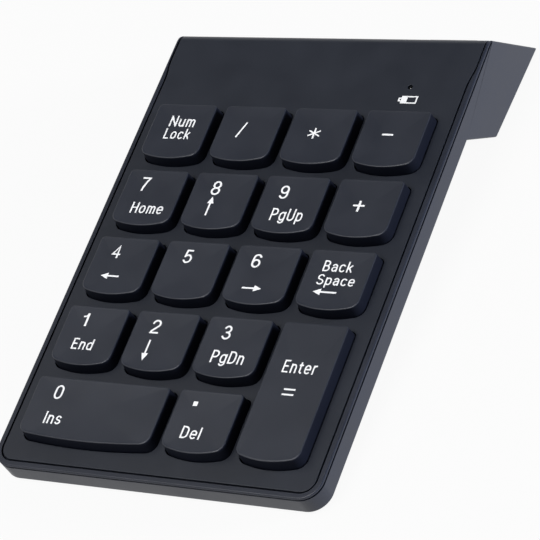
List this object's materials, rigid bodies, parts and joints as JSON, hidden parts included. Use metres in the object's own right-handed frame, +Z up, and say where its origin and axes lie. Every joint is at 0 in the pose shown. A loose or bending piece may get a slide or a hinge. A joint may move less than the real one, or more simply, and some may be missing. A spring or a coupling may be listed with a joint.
{
  "type": "numeric keypad",
  "caption": "Slim cordless numeric keypad with low island keys, tilted by a leaning battery block under its rear edge.",
  "frame": {"origin": "middle of the bounding box's bottom face, on the table under the keypad", "axes": "+X to the user's right, +Y from the user towards the block at the rear, +Z up; the deck leans 6 degrees, low at the front"},
  "size_m": [0.0848, 0.1348, 0.0194],
  "materials": {
    "plate_plastic": "fine matte spark texture, cool charcoal",
    "case_plastic": "satin moulded charcoal",
    "key_plastic": "soft matte charcoal, slightly polished on top",
    "legend_ink": "white printed legend",
    "foot_rubber": "matte rubber",
    "dome_silicone": "translucent grey silicone",
    "membrane_film": "clear polyester with printed silver tracks",
    "backing_steel": "zinc-plated sheet",
    "board_laminate": "green solder mask",
    "chip_epoxy": "moulded epoxy",
    "can_metal": "tin-plated can",
    "led_clear": "clear resin",
    "pipe_clear": "clear acrylic",
    "switch_plastic": "black nylon",
    "cell_sleeve": null,
    "contact_metal": "nickel-plated spring steel",
    "wire_steel": "drawn spring wire",
    "screw_steel": "black zinc",
    "receiver_metal": "stamped nickel-plated shell",
    "receiver_insulator": "white insulator with gilt contacts",
    "receiver_plastic": "black moulded grip"
  },
  "bodies": {
    "case": {"cover_plate": "plate_plastic", "upper_case": "case_plastic", "lower_case": "case_plastic", "foot_front_left": "foot_rubber", "foot_front_right": "foot_rubber", "foot_rear_left": "foot_rubber", "foot_rear_right": "foot_rubber", "case_screw_1": "screw_steel", "case_screw_2": "screw_steel", "case_screw_3": "screw_steel", "case_screw_4": "screw_steel", "case_screw_5": "screw_steel", "case_screw_6": "screw_steel", "dome_sheet": "dome_silicone", "membrane_sheet": "membrane_film", "backing_plate": "backing_steel", "circuit_board": "board_laminate", "controller_chip": "chip_epoxy", "crystal": "can_metal", "status_led": "led_clear", "light_pipe": "pipe_clear", "power_switch_body": "can_metal", "battery_cell_front": "cell_sleeve", "battery_cell_rear": "cell_sleeve", "bridge_contact": "contact_metal", "positive_contact": "contact_metal", "negative_contact": "contact_metal"},
    "key_num_lock": {"key_num_lock": "key_plastic"},
    "key_divide": {"key_divide": "key_plastic"},
    "key_multiply": {"key_multiply": "key_plastic"},
    "key_minus": {"key_minus": "key_plastic"},
    "key_7": {"key_7": "key_plastic"},
    "key_8": {"key_8": "key_plastic"},
    "key_9": {"key_9": "key_plastic"},
    "key_plus": {"key_plus": "key_plastic"},
    "key_4": {"key_4": "key_plastic"},
    "key_5": {"key_5": "key_plastic"},
    "key_6": {"key_6": "key_plastic"},
    "key_backspace": {"key_backspace": "key_plastic"},
    "key_1": {"key_1": "key_plastic"},
    "key_2": {"key_2": "key_plastic"},
    "key_3": {"key_3": "key_plastic"},
    "key_enter": {"key_enter": "key_plastic"},
    "key_0": {"key_0": "key_plastic"},
    "key_decimal": {"key_decimal": "key_plastic"},
    "stabiliser_0": {"stabiliser_0": "wire_steel"},
    "stabiliser_enter": {"stabiliser_enter": "wire_steel"},
    "battery_door": {"battery_door": "case_plastic"},
    "power_switch_knob": {"power_switch_knob": "switch_plastic"},
    "receiver": {"receiver_shell": "receiver_metal", "receiver_tongue": "receiver_insulator", "receiver_grip": "receiver_plastic"}
  },
  "joints": [
    {"name": "key_num_lock_press", "type": "slide", "parent": "case", "child": "key_num_lock", "axis": [0, 0.1045, -0.9945], "range_m": [0, 0.0018], "stiffness_N_per_m": 200, "springref_m": -0.0008, "deforming": ["dome_sheet"]},
    {"name": "key_divide_press", "type": "slide", "parent": "case", "child": "key_divide", "axis": [0, 0.1045, -0.9945], "range_m": [0, 0.0018], "stiffness_N_per_m": 200, "springref_m": -0.0008, "deforming": ["dome_sheet"]},
    {"name": "key_multiply_press", "type": "slide", "parent": "case", "child": "key_multiply", "axis": [0, 0.1045, -0.9945], "range_m": [0, 0.0018], "stiffness_N_per_m": 200, "springref_m": -0.0008, "deforming": ["dome_sheet"]},
    {"name": "key_minus_press", "type": "slide", "parent": "case", "child": "key_minus", "axis": [0, 0.1045, -0.9945], "range_m": [0, 0.0018], "stiffness_N_per_m": 200, "springref_m": -0.0008, "deforming": ["dome_sheet"]},
    {"name": "key_7_press", "type": "slide", "parent": "case", "child": "key_7", "axis": [0, 0.1045, -0.9945], "range_m": [0, 0.0018], "stiffness_N_per_m": 200, "springref_m": -0.0008, "deforming": ["dome_sheet"]},
    {"name": "key_8_press", "type": "slide", "parent": "case", "child": "key_8", "axis": [0, 0.1045, -0.9945], "range_m": [0, 0.0018], "stiffness_N_per_m": 200, "springref_m": -0.0008, "deforming": ["dome_sheet"]},
    {"name": "key_9_press", "type": "slide", "parent": "case", "child": "key_9", "axis": [0, 0.1045, -0.9945], "range_m": [0, 0.0018], "stiffness_N_per_m": 200, "springref_m": -0.0008, "deforming": ["dome_sheet"]},
    {"name": "key_plus_press", "type": "slide", "parent": "case", "child": "key_plus", "axis": [0, 0.1045, -0.9945], "range_m": [0, 0.0018], "stiffness_N_per_m": 200, "springref_m": -0.0008, "deforming": ["dome_sheet"]},
    {"name": "key_4_press", "type": "slide", "parent": "case", "child": "key_4", "axis": [0, 0.1045, -0.9945], "range_m": [0, 0.0018], "stiffness_N_per_m": 200, "springref_m": -0.0008, "deforming": ["dome_sheet"]},
    {"name": "key_5_press", "type": "slide", "parent": "case", "child": "key_5", "axis": [0, 0.1045, -0.9945], "range_m": [0, 0.0018], "stiffness_N_per_m": 200, "springref_m": -0.0008, "deforming": ["dome_sheet"]},
    {"name": "key_6_press", "type": "slide", "parent": "case", "child": "key_6", "axis": [0, 0.1045, -0.9945], "range_m": [0, 0.0018], "stiffness_N_per_m": 200, "springref_m": -0.0008, "deforming": ["dome_sheet"]},
    {"name": "key_backspace_press", "type": "slide", "parent": "case", "child": "key_backspace", "axis": [0, 0.1045, -0.9945], "range_m": [0, 0.0018], "stiffness_N_per_m": 200, "springref_m": -0.0008, "deforming": ["dome_sheet"]},
    {"name": "key_1_press", "type": "slide", "parent": "case", "child": "key_1", "axis": [0, 0.1045, -0.9945], "range_m": [0, 0.0018], "stiffness_N_per_m": 200, "springref_m": -0.0008, "deforming": ["dome_sheet"]},
    {"name": "key_2_press", "type": "slide", "parent": "case", "child": "key_2", "axis": [0, 0.1045, -0.9945], "range_m": [0, 0.0018], "stiffness_N_per_m": 200, "springref_m": -0.0008, "deforming": ["dome_sheet"]},
    {"name": "key_3_press", "type": "slide", "parent": "case", "child": "key_3", "axis": [0, 0.1045, -0.9945], "range_m": [0, 0.0018], "stiffness_N_per_m": 200, "springref_m": -0.0008, "deforming": ["dome_sheet"]},
    {"name": "key_enter_press", "type": "slide", "parent": "case", "child": "key_enter", "axis": [0, 0.1045, -0.9945], "range_m": [0, 0.0018], "stiffness_N_per_m": 200, "springref_m": -0.0008, "deforming": ["dome_sheet"]},
    {"name": "key_0_press", "type": "slide", "parent": "case", "child": "key_0", "axis": [0, 0.1045, -0.9945], "range_m": [0, 0.0018], "stiffness_N_per_m": 200, "springref_m": -0.0008, "deforming": ["dome_sheet"]},
    {"name": "key_decimal_press", "type": "slide", "parent": "case", "child": "key_decimal", "axis": [0, 0.1045, -0.9945], "range_m": [0, 0.0018], "stiffness_N_per_m": 200, "springref_m": -0.0008, "deforming": ["dome_sheet"]},
    {"name": "stabiliser_0_swing", "type": "hinge", "parent": "case", "child": "stabiliser_0", "pos_m": [-0.019, -0.05755, 0.00539], "axis": [1, 0, 0], "range_deg": [-10.5, 0]},
    {"name": "stabiliser_enter_swing", "type": "hinge", "parent": "case", "child": "stabiliser_enter", "pos_m": [0.024, -0.04362, 0.00686], "axis": [0, 0.9945, 0.1045], "range_deg": [0, 10.5]},
    {"name": "battery_door_slide", "type": "slide", "parent": "case", "child": "battery_door", "axis": [0, 1, 0], "range_m": [0, 0.028]},
    {"name": "power_switch_slide", "type": "slide", "parent": "case", "child": "power_switch_knob", "axis": [1, 0, 0], "range_m": [0, 0.0015]},
    {"name": "receiver_slide", "type": "slide", "parent": "case", "child": "receiver", "axis": [0, 0.9945, 0.1045], "range_m": [0, 0.024]}
  ],
  "couplings": [
    {"joint": "stabiliser_0_swing", "follows": "key_0_press", "rad_per_m": -101.3},
    {"joint": "stabiliser_enter_swing", "follows": "key_enter_press", "rad_per_m": 101.3}
  ]
}
